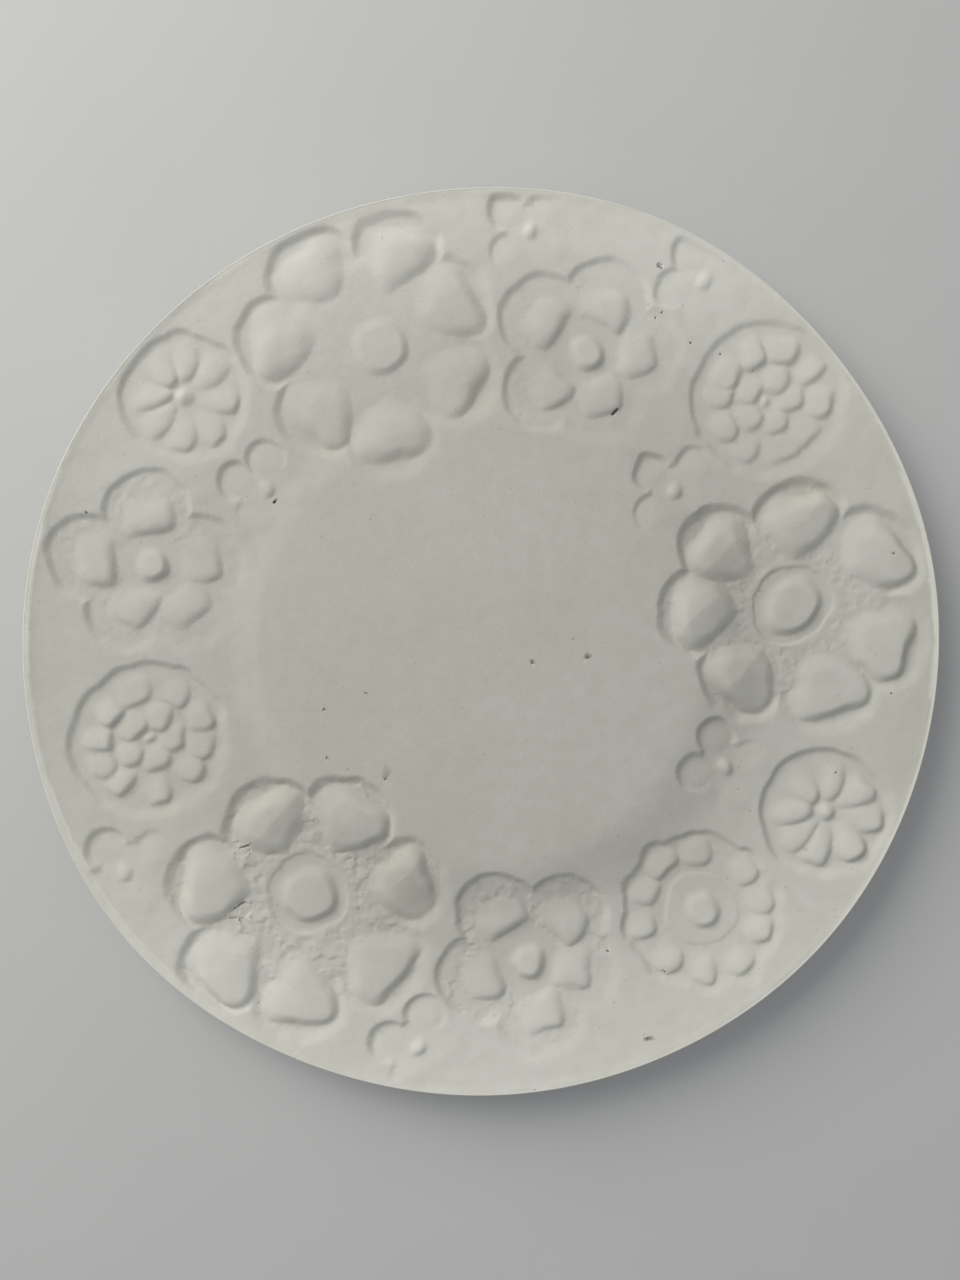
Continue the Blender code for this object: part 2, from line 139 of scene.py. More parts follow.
# The wreath: each flower's kind, its bearing and distance from the plate's middle, how strongly it is
# pressed, how roughly its ground is chiselled, and its petals: the bearing of each from the flower's
# middle, how far it reaches and, where it has one, its fold
WREATH = (
    (SMOOTH_LARGE, 109.0, 105.0, 0.70, 0.05,
     ((134, 43, 0.1), (80, 41, 0.4), (29, 37.5, 0.4), (-26, 38.5, 0.2), (-81, 39.5, 0.5), (-131, 40),
      (178, 43, 0.3))),
    (LARGE, 7.0, 104.5, 1.15, 0.20,
     ((142, 39, 1.0), (84, 37.5, 0.6), (34, 42, 0.2), (-24, 40.5, 0.1), (-68, 40, 0.2), (-126, 39.5, 0.8),
      (184, 40.5, 0.8))),
    (ROUGH_LARGE, 235.5, 102.0, 1.00, 0.35,
     ((118, 38, 0.9), (62, 38.5, 0.3), (6, 43, 0.9), (-44, 43, 0.3), (-95, 43.5, 0.2), (-140, 44, 0.1),
      (171, 41, 0.4))),
    (MEDIUM, 70.3, 102.4, 0.85, 0.05, ((139, 24), (65, 23.5), (2, 23.5), (-72, 22), (-136, 23.5))),
    (MEDIUM, -81.4, 107.6, 1.15, 0.22, ((124, 25), (52, 25), (-8, 22), (-79, 24.5), (199, 23))),
    (MEDIUM, 166.6, 112.8, 0.90, 0.12, ((91, 23), (6, 23.5), (-50, 25), (-114, 21.5), (175, 25))),
    (ROSETTE, 40.4, 124.6, 0.85, 0.0, around(21.8, -3, 33, 76, 113, 147, 176, 214, 247, 283, 321)),
    (ROSETTE, 196.0, 114.4, 1.00, 0.0, around(21.8, -9, 27, 62, 108, 145, 175, 205, 238, 283, 319)),
    (DAISY, 140.4, 127.8, 0.70, 0.0, around(19.0, 48, -3, -49, -96, 91, 134, 179, 224)),
    (DAISY, -26.3, 127.2, 1.25, 0.0, around(18.6, -2, 36, 78, 133, 176, 220, 256, 307)),
    (RING_FLOWER, -50.6, 115.4, 1.10, 0.05, around(25.0, 17, 47, 98, 130, 162, 196, 234, 275, 312, 346)),
    (SMALL, 83.4, 137.2, 0.80, 0.0, even(4, 46.0, 16.8)),
    (SMALL, 58.2, 139.0, 0.70, 0.0, even(5, 48.0, 16.8)),
    (SMALL, 38.4, 81.8, 1.00, 0.0, even(4, 49.0, 17.2)),
    (SMALL, -27.0, 91.4, 1.20, 0.0, even(4, 16.0, 17.2)),
    (SMALL, 144.4, 88.4, 0.80, 0.0, around(17.0, 88, 166, 256, 350)),
    (SMALL, 212.6, 137.4, 0.80, 0.0, around(17.0, 131, 33, -58, 220)),
    (SMALL, -99.0, 135.8, 1.10, 0.0, even(4, -12.0, 17.4)),
)
FLOWER_REACH = 54.0

# Widths over which the ground falls to the moat, and over which a hub's edge slopes
WEB_FADE = 7.0
HUB_EDGE = 4.0
# Chisel strokes round a knob: their length outwards, how many fit in a radian, the size of the finer facets
# on them and those facets' share of the depth, how far off the knob the strokes start, and the width over
# which they come to full depth
STROKE_LENGTH = 3.4
STROKES_PER_RADIAN = 7.0
FINE_FACET = 2.7
FINE_FACET_SHARE = 0.35
STROKES_CLEAR = 3.0
STROKES_FADE = 3.0

# A pocket's wall is steep on one side and runs out gently on the other, where it is this much wider
GENTLE_WALL = 3.5
GENTLE_BEARING = -45.0
# Where a pocket gets shallower towards one side, its petals lose this share of what the pocket loses
PETAL_TILT = 0.3
# Every raised form has a soft edge on the side away from that bearing, wider by this share
SOFT_SIDE = 1.6
# A folded petal falls away like a tent beyond a ridge, this share of its half width off its middle, and
# stands higher by this share
FOLD_FROM = -0.05
FOLD_RISE = 0.75
# How far a petal may stray: its bearing, and shares of its distance, width and height
PETAL_STRAY = (1.5, 0.015, 0.06, 0.10)
# The relief stops this far inside the edge
LIP_MARGIN = 1.2

# Hand-moulded unevenness: how far the forms drift sideways and how ragged they are, and low swells over the
# surface, each with its length and height
DRIFT = 0.5
DRIFT_LENGTHS = (43.0, 37.0, 19.0)
RAGGED = 0.45
RAGGED_LENGTH = 4.5
SWELLS = ((17.0, 0.16), (6.5, 0.07), (2.6, 0.03))
# In the plain middle the swells keep only this share of their height, out to this radius, and they come
# back to full height over this width
SWELL_SHARE_IN_MIDDLE = 0.35
SWELL_MIDDLE_RADIUS = 60.0
SWELL_MIDDLE_FADE = 30.0
BACK_SWELLS = ((15.0, 0.12), (5.0, 0.05))

# The plain middle is darker than the edge, out to this radius, partly the clay's own tone and partly
# painted shade, and the darkening fades over this width
MIDDLE_TONE_AND_SHADE_RADIUS = 85.0
MIDDLE_TONE_AND_SHADE_FADE = 72.0
# The surface is a little darker towards the left and right edges too, as this power of the distance:
# painted shade
SIDES_SHADE_POWER = 4
# A point is in a crease or on a crest if the surface this far round it is higher or lower, by these heights
CREASE_REACHES = (1.4, 3.0)
CREASE_HEIGHT = 1.0
CREST_HEIGHT = 0.9

# Open air bubbles and chips: place from the plate's middle, radius and depth
PITS = (
    (-68.5, 46.5, 0.55, 0.9), (135.5, 29.0, 0.3, 0.5), (69.5, 99.0, 0.35, 0.6), (79.5, 95.5, 0.3, 0.5),
    (60.0, 109.0, 0.35, 0.5), (58.0, 107.5, 0.3, 0.4), (17.0, -7.0, 0.3, 0.5), (42.5, -103.5, 0.3, 0.5),
    (35.0, -5.5, 0.25, 0.3), (30.5, 1.0, 0.25, 0.3), (-52.0, -22.5, 0.3, 0.4), (-51.0, -38.5, 0.3, 0.4),
    (54.5, -130.5, 0.3, 0.4), (-130.0, 42.5, 0.3, 0.4), (-38.0, -17.0, 0.25, 0.3), (135.5, -17.0, 0.3, 0.4),
    (118.0, -43.5, 0.3, 0.4), (61.0, -109.5, 0.35, 0.5), (-31.5, -45.5, 0.3, 0.4),
)
CHIPS = (
    ((44.0, 76.0), (45.5, 77.5), 0.5, 0.7), ((58.5, 124.0), (59.5, 123.5), 0.45, 0.6),
    ((-80.0, -68.5), (-77.0, -67.7), 0.3, 0.5), ((-82.0, -88.5), (-78.5, -86.5), 0.25, 0.4),
)
# The turned surface is split finer round them, once for each of these distances
REFINE_REACHES = (2.2, 0.5)

# Fineness of the turned surface and number of triangles that the finished piece keeps
TURNED_STEPS = 1200
COARSE_STEPS = 300
RELIEF_START = 58.0
RING_SPACING = 0.5
WELL_SPACING = 1.6
KEPT_TRIANGLES = 188000


def ease(t):
    """Smooth 0 to 1 curve, level at both ends."""
    t = np.clip(t, 0.0, 1.0)
    return t * t * (3.0 - 2.0 * t)


def hashed(ix, iy, salt):
    """A repeatable random number from 0 to 1 for each cell of a grid."""
    n = (ix * 374761393 + iy * 668265263 + salt * 974634777) & 0xFFFFFFFF
    n = ((n ^ (n >> 13)) * 1274126177) & 0xFFFFFFFF
    return ((n ^ (n >> 16)) & 0xFFFF) / 65535.0


def swell(x, y, length, salt):
    """Smooth hills and hollows from -1 to 1, about that length across."""
    gx, gy = x / length, y / length
    ix, iy = np.floor(gx).astype(np.int64), np.floor(gy).astype(np.int64)
    fx, fy = ease(gx - ix), ease(gy - iy)
    low = hashed(ix, iy, salt) * (1 - fx) + hashed(ix + 1, iy, salt) * fx
    high = hashed(ix, iy + 1, salt) * (1 - fx) + hashed(ix + 1, iy + 1, salt) * fx
    return 2.0 * (low * (1 - fy) + high * fy) - 1.0


def facets(x, y, size, salt):
    """Chiselled facets from about -1 to 1: each patch is a plane with its own height and tilt."""
    gx, gy = x / size, y / size
    ix0, iy0 = np.floor(gx).astype(np.int64), np.floor(gy).astype(np.int64)
    nearest = np.full_like(gx, 9.0)
    level = np.zeros_like(gx)
    for step_x in (-1, 0, 1):
        for step_y in (-1, 0, 1):
            ix, iy = ix0 + step_x, iy0 + step_y
            off_x = gx - ix - hashed(ix, iy, salt)
            off_y = gy - iy - hashed(ix, iy, salt + 1)
            gap = off_x ** 2 + off_y ** 2
            plane = (hashed(ix, iy, salt + 2) - 0.5
                     + 1.8 * off_x * (hashed(ix, iy, salt + 3) - 0.5)
                     + 1.8 * off_y * (hashed(ix, iy, salt + 4) - 0.5))
            closer = gap < nearest
            level = np.where(closer, plane, level)
            nearest = np.minimum(nearest, gap)
    return level


def top_level(radius, bearing=None):
    """Height of the plate's plain upper side. Without a bearing, the step round the middle doesn't lean."""
    lean = 0.0 if bearing is None else np.cos(bearing - math.radians(STEP_LEAN_BEARING))
    step_end = RIM_START + STEP_WIDER * np.clip(lean, 0.0, 1.0)
    out_on_step = ease((radius - CENTRE_RADIUS) / (step_end - CENTRE_RADIUS))
    step = CENTRE_STEP * (1.0 + STEP_LEAN * lean) * out_on_step
    out_on_rim = np.clip((radius - RIM_START) / (PLATE_RADIUS - RIM_START), 0.0, 1.0)
    back_up = CENTRE_STEP * STEP_LEAN * lean * ease((radius - step_end) / (PLATE_RADIUS - step_end))
    lip = LIP_RISE * ease((radius - PLATE_RADIUS + EDGE_ROUNDING + LIP_WIDTH) / LIP_WIDTH)
    return CENTRE_LEVEL - step + back_up + RIM_RISE * out_on_rim ** RIM_CURVE + lip


def underside_level(radius):
    """Height of the sloping back, outside the foot ring."""
    out_on_back = (radius - FOOT_OUTER_RADIUS) / (PLATE_RADIUS - FOOT_OUTER_RADIUS)
    return FOOT_HEIGHT + (EDGE_UNDERSIDE - FOOT_HEIGHT) * out_on_back


def drifted(x, y):
    """Coordinates that wander slowly about the true ones, with a slight raggedness."""
    slow, slower, quick = (2.0 * math.pi / length for length in DRIFT_LENGTHS)
    across = np.sin(slower * y + 1.3) + 0.5 * np.sin(quick * (x + y))
    upward = np.sin(slow * x + 0.4) + 0.5 * np.sin(quick * (x - y) + 2.0)
    ragged_x = RAGGED * swell(x, y, RAGGED_LENGTH, 400)
    ragged_y = RAGGED * swell(x, y, RAGGED_LENGTH, 401)
    return x + DRIFT * across + ragged_x, y + DRIFT * upward + ragged_y


def swelling(filled, inset, lee, edge, crown, ramp):
    """Height share of a raised form: partly domed, low and softly edged on one side, steep on its lee."""
    away = 0.5 - 0.5 * np.clip(lee, -1.0, 1.0)
    shoulder = ease(inset / (edge * (1.0 + SOFT_SIDE * away)))
    return shoulder * (1.0 - crown + filled * crown) * (1.0 - ramp * away)


def petal_lift(kind, x, y, bearing, length, reach, half_width, fold=0.0):
    """How far a petal rises from the ground to its full height, from 0 to 1."""
    along, across = turned_to(x, y, bearing)
    t = np.clip((along - reach + length) / length, 0.0, 1.0)
    taper, blunt = kind["taper"], kind["blunt"]
    widest = taper / (taper + blunt)
    fullest = widest ** taper * (1.0 - widest) ** blunt
    width = half_width * t ** taper * (1.0 - t) ** blunt / fullest
    share = np.clip(np.abs(across) / np.maximum(width, 0.01), 0.0, 1.0)
    filled = (1.0 - share ** (2.0 - kind["keel"] * (1.0 - 0.6 * t))) * np.minimum(width / half_width, 1.0)
    middle = (reach - length / 2) * math.cos(math.radians(bearing - GENTLE_BEARING))
    lee = turned_to(x, y, GENTLE_BEARING)[0] - middle
    to_tip, to_root = reach - along, along - reach + length
    inset = sum(np.maximum(gap, 0.01) ** -2.0 for gap in (to_tip, to_root, filled * half_width / 2)) ** -0.5
    lift = swelling(filled, inset, lee / half_width, kind["edge"], kind["crown"], kind["ramp"])
    return lift * (1.0 - fold * np.clip((lee / half_width - FOLD_FROM) / (1.0 - FOLD_FROM), 0.0, 1.0))


def turned_to(x, y, bearing):
    """Coordinates along and across a bearing."""
    cos, sin = math.cos(math.radians(bearing)), math.sin(math.radians(bearing))
    return x * cos + y * sin, y * cos - x * sin


def strayed(petals, salt, stray):
    """Each petal's bearing, distance, fold, and shares of the kind's width and height, slightly off."""
    for number, petal in enumerate(petals):
        bearing, distance, fold = (*petal, 0.0)[:3]
        turn, far, wide, high = (
            stray * amount * (2.0 * float(hashed(number, 7 * salt + part, 900)) - 1.0)
            for part, amount in enumerate(PETAL_STRAY))
        height = (1.0 + high) * (1.0 + FOLD_RISE * fold)
        yield bearing + turn, distance * (1.0 + far), fold, 1.0 + wide, height


def flower(kind, x, y, petals, chisel, salt):
    """Height of a flower over the rim: its sunk pocket, and in it the ground, petals and knob."""
    distance = np.hypot(x, y)
    bearing = np.arctan2(y, x)
    lee = turned_to(x, y, GENTLE_BEARING)[0]
    outline = distance - kind["core"]
    lift = np.zeros_like(x)
    for petal_bearing, reach, fold, wide, high in strayed(petals, salt, kind.get("stray", 1.0)):
        along, across = turned_to(x, y, petal_bearing)
        lobe = np.hypot(along - reach + kind["lobe_inset"], across) - kind["lobe_radius"]
        outline = np.minimum(outline, lobe)
        lift = np.maximum(lift, high * petal_lift(
            kind, x, y, petal_bearing, kind["petal_length"], reach, kind["petal_half_width"] * wide, fold))
    for i in range(kind.get("inner_petals", 0)):
        turn = petals[0][0] + kind["inner_turn"] + 360.0 * i / kind["inner_petals"]
        lift = np.maximum(lift, petal_lift(
            kind, x, y, turn, kind["inner_length"], kind["inner_reach"], kind["inner_half_width"]))

    wider = GENTLE_WALL * np.clip(lee / np.maximum(distance, 0.001), 0.0, 1.0)
    opening = ease((-outline + wider / 2) / (kind["wall"] + wider))
    on_web = 1.0 - ease((distance - kind["web_reach"]) / WEB_FADE)
    ground = kind["moat"] + (kind["web"] - kind["moat"]) * on_web
    if "hub_radius" in kind:
        ground = np.maximum(ground, kind["hub_height"] * ease((kind["hub_radius"] - distance) / HUB_EDGE))
    if chisel:
        strokes = facets(distance / STROKE_LENGTH, STROKES_PER_RADIAN * bearing, 1.0, salt)
        strokes = strokes + FINE_FACET_SHARE * facets(x, y, FINE_FACET, salt + 9)
        off_hub = ease((distance - kind["knob_radius"] - STROKES_CLEAR) / STROKES_FADE)
        ground = ground + chisel * (strokes - 0.3) * (1.0 - ease(6.0 * lift)) * off_hub
    if "ring_at" in kind:
        wobble = 0.35 * np.sin(3.0 * bearing + salt) + 0.2 * np.sin(7.0 * bearing)
        ring = 1.0 - ((distance - kind["ring_at"] - wobble) / kind["ring_half_width"]) ** 2
        beads = 1.0 - kind["bead_depth"] * (1.0 - swell(13.0 * bearing / math.pi, distance, 1.0, salt))
        ground = np.where(distance < kind["ring_at"], kind["groove_height"], ground)
        ground = np.maximum(ground, kind["ring_height"] * beads * ease(ring))
    oval = distance * (1.0 + 0.04 * np.cos(2.0 * bearing + salt)) / kind["knob_radius"]
    knob = swelling(1.0 - np.minimum(oval, 1.0) ** 2, kind["knob_radius"] * (1.0 - oval),
                    lee / kind["knob_radius"], kind["knob_edge"], kind["knob_crown"], kind["knob_ramp"])
    towards_lee = lee / (kind["core"] + 8.0)
    shallower = ease((towards_lee - kind.get("tilt_from", -0.2)) / kind.get("tilt_run", 1.1))
    kept = opening * (1.0 - kind["tilt"] * shallower)
    kept_rise = opening * (1.0 - PETAL_TILT * kind["tilt"] * shallower)
    floor = (ground - kind["depth"]) * kept
    with_petals = floor + (kind["petal_height"] - ground) * lift * kept_rise
    return np.maximum(with_petals, floor + (kind["knob_height"] - ground) * knob * opening)


def relief(x, y):
    """Height of the wreath, the leaning step and the uneven surface over the plain turned upper side."""
    radius = np.hypot(x, y)
    inside_lip = ease((PLATE_RADIUS - LIP_MARGIN - radius) / LIP_WIDTH)
    wandering_x, wandering_y = drifted(x, y)
    surface = np.zeros_like(x)
    claimed = np.zeros_like(x)
    for number, (kind, bearing, distance, vigour, chisel, petals) in enumerate(WREATH):
        local_x = wandering_x - distance * math.cos(math.radians(bearing))
        local_y = wandering_y - distance * math.sin(math.radians(bearing))
        near = np.hypot(local_x, local_y) < FLOWER_REACH
        height = vigour * flower(kind, local_x[near], local_y[near], petals, chisel, 20 * number)
        stronger = np.abs(height) > claimed[near]
        surface[near] = np.where(stronger, height, surface[near])
        claimed[near] = np.maximum(claimed[near], np.abs(height))
    surface = surface * inside_lip
    surface += top_level(radius, np.arctan2(y, x)) - top_level(radius)
    out_of_middle = ease((radius - SWELL_MIDDLE_RADIUS) / SWELL_MIDDLE_FADE)
    uneven = SWELL_SHARE_IN_MIDDLE + (1.0 - SWELL_SHARE_IN_MIDDLE) * out_of_middle
    for number, (length, height) in enumerate(SWELLS):
        surface += height * swell(x, y, length, 500 + number) * uneven
    return surface


def hollow(x, y):
    """Depth of the pits and chips, and how far into one a point lies, from 0 to 1."""
    depth = np.zeros_like(x)
    inside = np.zeros_like(x)
    for pit_x, pit_y, radius, pit_depth in PITS:
        ragged = 1.0 + 0.25 * swell(x * 3.0, y * 3.0, 1.7, 700)
        share = np.hypot(x - pit_x, y - pit_y) / (radius * ragged)
        depth = np.maximum(depth, pit_depth * ease(1.25 - share))
        inside = np.maximum(inside, ease((1.1 - share) / 0.5))
    for start, end, radius, chip_depth in CHIPS:
        run_x, run_y = end[0] - start[0], end[1] - start[1]
        share = ((x - start[0]) * run_x + (y - start[1]) * run_y) / (run_x ** 2 + run_y ** 2)
        share = np.clip(share, 0.0, 1.0)
        ragged = 1.0 + 0.5 * swell(x, y, 0.9, 710)
        away = np.hypot(x - start[0] - share * run_x, y - start[1] - share * run_y) / (radius * ragged)
        depth = np.maximum(depth, chip_depth * ease(1.25 - away))
        inside = np.maximum(inside, 0.8 * ease((1.1 - away) / 0.5))
    return depth, inside


def edge_wave(bearing):
    """How far the edge strays from the circle at a bearing in radians."""
    return sum(height * np.cos(waves * (bearing - math.radians(crest)))
               for waves, height, crest in EDGE_WAVES)


def arc(centre_x, centre_z, radius, start, end, steps):
    """Points of an arc in the profile's plane."""
    angles = [math.radians(start + (end - start) * i / steps) for i in range(steps + 1)]
    return [(centre_x + radius * math.cos(a), centre_z + radius * math.sin(a)) for a in angles]


def run(start, end, steps):
    """Points along a straight stretch of the profile, without its start."""
    return [(start[0] + (end[0] - start[0]) * i / steps, start[1] + (end[1] - start[1]) * i / steps)
            for i in range(1, steps + 1)]


def plate_profile():
    """Half of the plate's section, from the top over the edge to the back, and each point's steps round."""
    rounded_from = PLATE_RADIUS - EDGE_ROUNDING
    inner_rings = int(RELIEF_START / WELL_SPACING)
    plain = [(RELIEF_START * i / inner_rings, CENTRE_LEVEL) for i in range(1, inner_rings)]
    rings = int((rounded_from - RELIEF_START) / RING_SPACING)
    fine = []
    for i in range(rings + 1):
        radius = RELIEF_START + (rounded_from - RELIEF_START) * i / rings
        fine.append((radius, float(top_level(radius))))
    fine += arc(rounded_from, EDGE_LEVEL - EDGE_ROUNDING, EDGE_ROUNDING, 90, 0, 7)[1:]
    fine += arc(rounded_from, EDGE_UNDERSIDE + EDGE_ROUNDING, EDGE_ROUNDING, 0, -90, 7)

    inner, outer = FOOT_OUTER_RADIUS - FOOT_WIDTH, FOOT_OUTER_RADIUS
    back = [(radius, underside_level(radius))
            for radius in np.linspace(rounded_from, outer + FOOT_FLARE, 32)[1:-1]]
    foot_top_outer = (outer + FOOT_FLARE, FOOT_HEIGHT)
    foot_top_inner = (inner - FOOT_FLARE, FOOT_HEIGHT)
    flare_at_rounding = FOOT_FLARE * FOOT_ROUNDING / FOOT_HEIGHT
    back.append(foot_top_outer)
    back += run(foot_top_outer, (outer + flare_at_rounding, FOOT_ROUNDING), 5)
    back += arc(outer - FOOT_ROUNDING * 0.7, FOOT_ROUNDING, FOOT_ROUNDING, -15, -90, 4)
    back += run((outer - FOOT_ROUNDING, 0.0), (inner + FOOT_ROUNDING, 0.0), 5)[:-1]
    back += arc(inner + FOOT_ROUNDING * 0.7, FOOT_ROUNDING, FOOT_ROUNDING, -90, -165, 4)
    back += run((inner - flare_at_rounding, FOOT_ROUNDING), foot_top_inner, 5)
    back += run(foot_top_inner, (2.0, FOOT_HEIGHT), 36)
    counts = [COARSE_STEPS] * len(plain) + [TURNED_STEPS] * len(fine) + [COARSE_STEPS] * len(back)
    return plain + fine + back, counts


def stitched(start_a, count_a, start_b, count_b):
    """Faces between two neighbouring rings of points, where one may have a multiple of the other's."""
    if count_a > count_b:
        return [face[::-1] for face in stitched(start_b, count_b, start_a, count_a)]
    ratio = count_b // count_a
    faces = []
    for i in range(count_a):
        here, after = start_a + i, start_a + (i + 1) % count_a
        outer = [start_b + (i * ratio + j) % count_b for j in range(ratio + 1)]
        if ratio == 1:
            faces.append((here, outer[0], outer[1], after))
        else:
            faces += [(here, outer[j], outer[j + 1]) for j in range(ratio)]
            faces.append((here, outer[-1], after))
    return faces


def turned_mesh():
    """The plain plate as rings of points, closed by a middle point on each side."""
    profile, counts = plate_profile()
    starts = np.concatenate([[0], np.cumsum(counts)]).tolist()
    vertices = np.empty((starts[-1] + 2, 3))
    for (radius, height), start, count in zip(profile, starts, counts):
        angles = 2.0 * math.pi * np.arange(count) / count
        vertices[start:start + count, 0] = radius * np.cos(angles)
        vertices[start:start + count, 1] = radius * np.sin(angles)
        vertices[start:start + count, 2] = height
    top, bottom = starts[-1], starts[-1] + 1
    vertices[top] = (0.0, 0.0, CENTRE_LEVEL)
    vertices[bottom] = (0.0, 0.0, FOOT_HEIGHT)

    faces = []
    for i in range(len(profile) - 1):
        faces += stitched(starts[i], counts[i], starts[i + 1], counts[i + 1])
    for i in range(COARSE_STEPS):
        after = (i + 1) % COARSE_STEPS
        faces.append((top, i, after))
        faces.append((bottom, starts[-2] + after, starts[-2] + i))
    mesh = bpy.data.meshes.new("plate_fine")
    mesh.from_pydata((vertices * MM).tolist(), [], faces)
    mesh.update()
    return mesh


def read_points(mesh):
    flat = np.empty(len(mesh.vertices) * 3)
    mesh.vertices.foreach_get("co", flat)
    return flat.reshape(-1, 3) / MM


def refine_near_pits(mesh, reach):
    """Splits the faces round every pit and chip, out to that far beyond it."""
    points = read_points(mesh)
    ends = np.empty(len(mesh.edges) * 2, dtype=np.int64)
    mesh.edges.foreach_get("vertices", ends)
    ends = ends.reshape(-1, 2)
    middle = (points[ends[:, 0]] + points[ends[:, 1]]) / 2
    spots = [(x, y, radius) for x, y, radius, _ in PITS]
    for a, b, radius, _ in CHIPS:
        spots.append(((a[0] + b[0]) / 2, (a[1] + b[1]) / 2, radius + math.dist(a, b) / 2))
    close = np.zeros(len(middle), dtype=bool)
    for x, y, radius in spots:
        close |= np.hypot(middle[:, 0] - x, middle[:, 1] - y) < radius + reach
    close &= middle[:, 2] > EDGE_UNDERSIDE + 1.0
    bm = bmesh.new()
    bm.from_mesh(mesh)
    bm.edges.ensure_lookup_table()
    chosen = [bm.edges[i] for i in np.flatnonzero(close)]
    bmesh.ops.subdivide_edges(bm, edges=chosen, cuts=2, use_grid_fill=True)
    bmesh.ops.triangulate(bm, faces=bm.faces)
    bm.to_mesh(mesh)
    bm.free()


def is_top(x, y, z):
    """Which points lie on the upper side, inside the lip."""
    radius = np.hypot(x, y)
    middle = np.where(radius < RIM_START, CENTRE_LEVEL - CENTRE_THICKNESS / 2,
                      (top_level(radius) + underside_level(radius)) / 2)
    return (z > middle) & (radius < PLATE_RADIUS - LIP_MARGIN)


def carve(mesh):
    """Presses the flowers and pits into the upper side and brings the edge out of true."""
    points = read_points(mesh)
    x, y, z = points[:, 0].copy(), points[:, 1].copy(), points[:, 2].copy()
    radius = np.hypot(x, y)
    top = is_top(x, y, z)
    points[top, 2] += relief(x[top], y[top]) - hollow(x[top], y[top])[0]
    under = ~top & (radius < PLATE_RADIUS - LIP_MARGIN) & (z > FOOT_ROUNDING)
    points[under, 2] += sum(height * swell(x[under], y[under], length, 600 + number)
                            for number, (length, height) in enumerate(BACK_SWELLS))

    near_edge = ease((radius - FOOT_OUTER_RADIUS) / (PLATE_RADIUS - FOOT_OUTER_RADIUS))
    stretch = 1.0 + near_edge * edge_wave(np.arctan2(y, x)) / PLATE_RADIUS
    points[:, :2] *= stretch[:, None]
    centre = (points[:, :2].min(axis=0) + points[:, :2].max(axis=0)) / 2
    points[:, :2] -= centre
    mesh.vertices.foreach_set("co", (points * MM).ravel())
    mesh.update()


def evaluated_mesh(obj):
    bpy.context.view_layer.update()
    mesh = bpy.data.meshes.new_from_object(obj.evaluated_get(bpy.context.evaluated_depsgraph_get()))
    obj.modifiers.clear()
    return mesh


def drill_hang_hole(obj, bearing):
    """Cuts one hole through the foot ring, for the wire that the plate hangs by."""
    middle = (FOOT_OUTER_RADIUS - FOOT_WIDTH / 2) * MM
    angle = math.radians(bearing)
    bpy.ops.mesh.primitive_cylinder_add(
        vertices=24, radius=HANG_HOLE_DIAMETER / 2 * MM, depth=(FOOT_WIDTH + 4.0 * FOOT_FLARE) * MM,
        location=(middle * math.cos(angle), middle * math.sin(angle), FOOT_HEIGHT / 2 * MM),
        rotation=(0.0, math.pi / 2, angle))
    drill = bpy.context.object
    pierce = obj.modifiers.new("pierce", "BOOLEAN")
    pierce.operation = "DIFFERENCE"
    pierce.solver = "EXACT"
    pierce.object = drill
    obj.data = evaluated_mesh(obj)
    bpy.data.objects.remove(drill)


def mark_surface(mesh):
    """Notes where creases, crests and pits lie, and how near each point is to the middle and to the left
    and right edges; the material paints shade by the creases, pits and left and right edges, and partly by
    the middle.
    """
    points = read_points(mesh)
    x, y, z = points[:, 0], points[:, 1], points[:, 2]
    radius = np.hypot(x, y)
    top = is_top(x, y, z)
    own = relief(x[top], y[top])
    nearby = np.zeros_like(own)
    for step in range(8):
        angle = math.pi * step / 4
        for reach in CREASE_REACHES:
            nearby += relief(x[top] + reach * math.cos(angle), y[top] + reach * math.sin(angle)) / 16
    crease = np.zeros(len(points))
    crease[top] = np.clip((nearby - own) / CREASE_HEIGHT, 0.0, 1.0)
    crest = np.zeros(len(points))
    crest[top] = np.clip((own - nearby) / CREST_HEIGHT, 0.0, 1.0)
    pit = np.zeros(len(points))
    pit[top] = hollow(x[top], y[top])[1]
    middle = np.where(top, 1.0 - ease((radius - MIDDLE_TONE_AND_SHADE_RADIUS) / MIDDLE_TONE_AND_SHADE_FADE), 0.0)
    side_shade = np.where(top, (x / PLATE_RADIUS) ** SIDES_SHADE_POWER, 0.0)
    marks = {"crease": crease, "crest": crest, "pit": pit, "middle": middle, "side_shade": side_shade}
    for name, values in marks.items():
        layer = mesh.attributes.new(name, "FLOAT", "POINT")
        layer.data.foreach_set("value", values.astype(np.float32))


